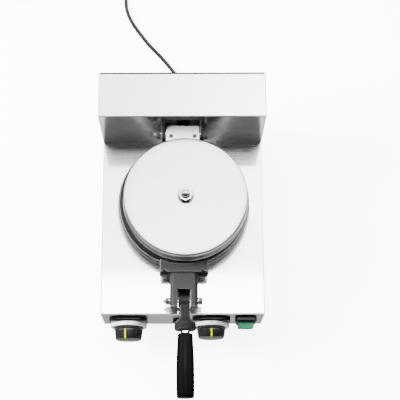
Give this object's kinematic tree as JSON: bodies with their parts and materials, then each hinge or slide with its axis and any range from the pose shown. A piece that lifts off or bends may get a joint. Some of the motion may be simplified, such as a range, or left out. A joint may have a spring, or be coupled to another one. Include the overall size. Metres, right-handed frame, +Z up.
{
  "type": "countertop burger sealing cooker",
  "caption": "Stainless countertop cooker with round hinged moulds under a pressed lid, a latch lever with black grip, dial knobs, rocker switch and a rear hinge tower.",
  "frame": {"origin": "on the table under the middle of the part, the lead left out", "axes": "+X to the right seen from the front, +Y from the grip to the tower, +Z up"},
  "size_m": [0.4568, 0.8935, 0.226],
  "materials": {
    "sheet_steel": "fine brushed stainless sheet",
    "lid_steel": "pressed stainless, finely brushed",
    "cast_charcoal": "charcoal coated casting",
    "lever_charcoal": "charcoal coated casting",
    "mould_black": "cast aluminium with black non-stick coat",
    "zinc": "bright plated steel",
    "heater_tube": "dark steel tube",
    "grip_black": "glossy black moulding",
    "knob_black": "satin black moulding",
    "bezel_black": "glossy black moulding",
    "pointer_yellow": "yellow bar",
    "dial_silver": "satin silver disc",
    "rocker_green": "translucent green moulding",
    "lamp_amber": "amber lens",
    "inner_white": "pale technical moulding",
    "foot_rubber": "black rubber",
    "lead_black": "black rubber sheath",
    "black_steel": "blackened steel screws",
    "brass": "nickel-free brass"
  },
  "bodies": {
    "base": {"base_cover": "sheet_steel", "bottom_plate": "sheet_steel", "tower_cover": "sheet_steel", "tower_back": "sheet_steel", "lower_casing": "sheet_steel", "foot_front_left": "foot_rubber", "foot_front_right": "foot_rubber", "foot_rear_left": "foot_rubber", "foot_rear_right": "foot_rubber", "foot_screws": "zinc", "tower_back_screws": "zinc", "hinge_bracket": "cast_charcoal", "hinge_bracket_nuts": "zinc", "hinge_pin": "zinc", "hinge_pin_nut": "zinc", "lower_mould": "mould_black", "lower_stud": "zinc", "lower_heater": "heater_tube", "catch_bracket": "cast_charcoal", "catch_screws": "zinc", "timer_bezel": "bezel_black", "thermostat_bezel": "bezel_black", "timer_dial": "dial_silver", "thermostat_dial": "dial_silver", "timer_body": "inner_white", "thermostat_body": "inner_white", "terminal_block": "inner_white", "lamp_bezel": "bezel_black", "lamp_lens": "lamp_amber", "rocker_surround": "bezel_black", "cable_gland": "knob_black", "strain_relief": "lead_black", "power_cord": "lead_black", "cord_coil": "lead_black", "cord_tail": "lead_black", "cord_tie": "knob_black", "plug": "lead_black", "plug_pins": "brass"},
    "lid": {"upper_mould": "mould_black", "upper_heater": "heater_tube", "lid_cover": "lid_steel", "lid_stud": "zinc", "lid_washer": "zinc", "cap_nut": "zinc", "hinge_leaf": "zinc", "hinge_leaf_screws": "zinc", "handle_bracket": "cast_charcoal", "handle_bracket_screws": "black_steel", "latch_bolt": "zinc", "latch_nut": "zinc"},
    "lever": {"latch_lever": "lever_charcoal", "handle_nut": "zinc", "handle_grip": "grip_black"},
    "timer": {"timer_knob": "knob_black", "timer_pointer": "pointer_yellow", "timer_shaft": "zinc"},
    "thermostat": {"thermostat_knob": "knob_black", "thermostat_pointer": "pointer_yellow", "thermostat_shaft": "zinc"},
    "rocker_key": {"rocker": "rocker_green"}
  },
  "joints": [
    {"name": "lid_hinge", "type": "hinge", "parent": "base", "child": "lid", "pos_m": [0.0006, 0.169, 0.174], "axis": [-1, 0, 0], "range_deg": [0, 68]},
    {"name": "latch_lever_hinge", "type": "hinge", "parent": "lid", "child": "lever", "pos_m": [0.002, -0.101, 0.141], "axis": [-1, 0, 0], "range_deg": [-15, 60]},
    {"name": "timer_turn", "type": "hinge", "parent": "base", "child": "timer", "pos_m": [-0.0897, -0.1155, 0.058], "axis": [0, 1, 0], "range_deg": [0, 300]},
    {"name": "thermostat_turn", "type": "hinge", "parent": "base", "child": "thermostat", "pos_m": [0.0472, -0.1155, 0.058], "axis": [0, 1, 0], "range_deg": [0, 270]},
    {"name": "rocker_tip", "type": "hinge", "parent": "base", "child": "rocker_key", "pos_m": [0.1038, -0.1155, 0.071], "axis": [-1, 0, 0], "range_deg": [0, 14]}
  ]
}
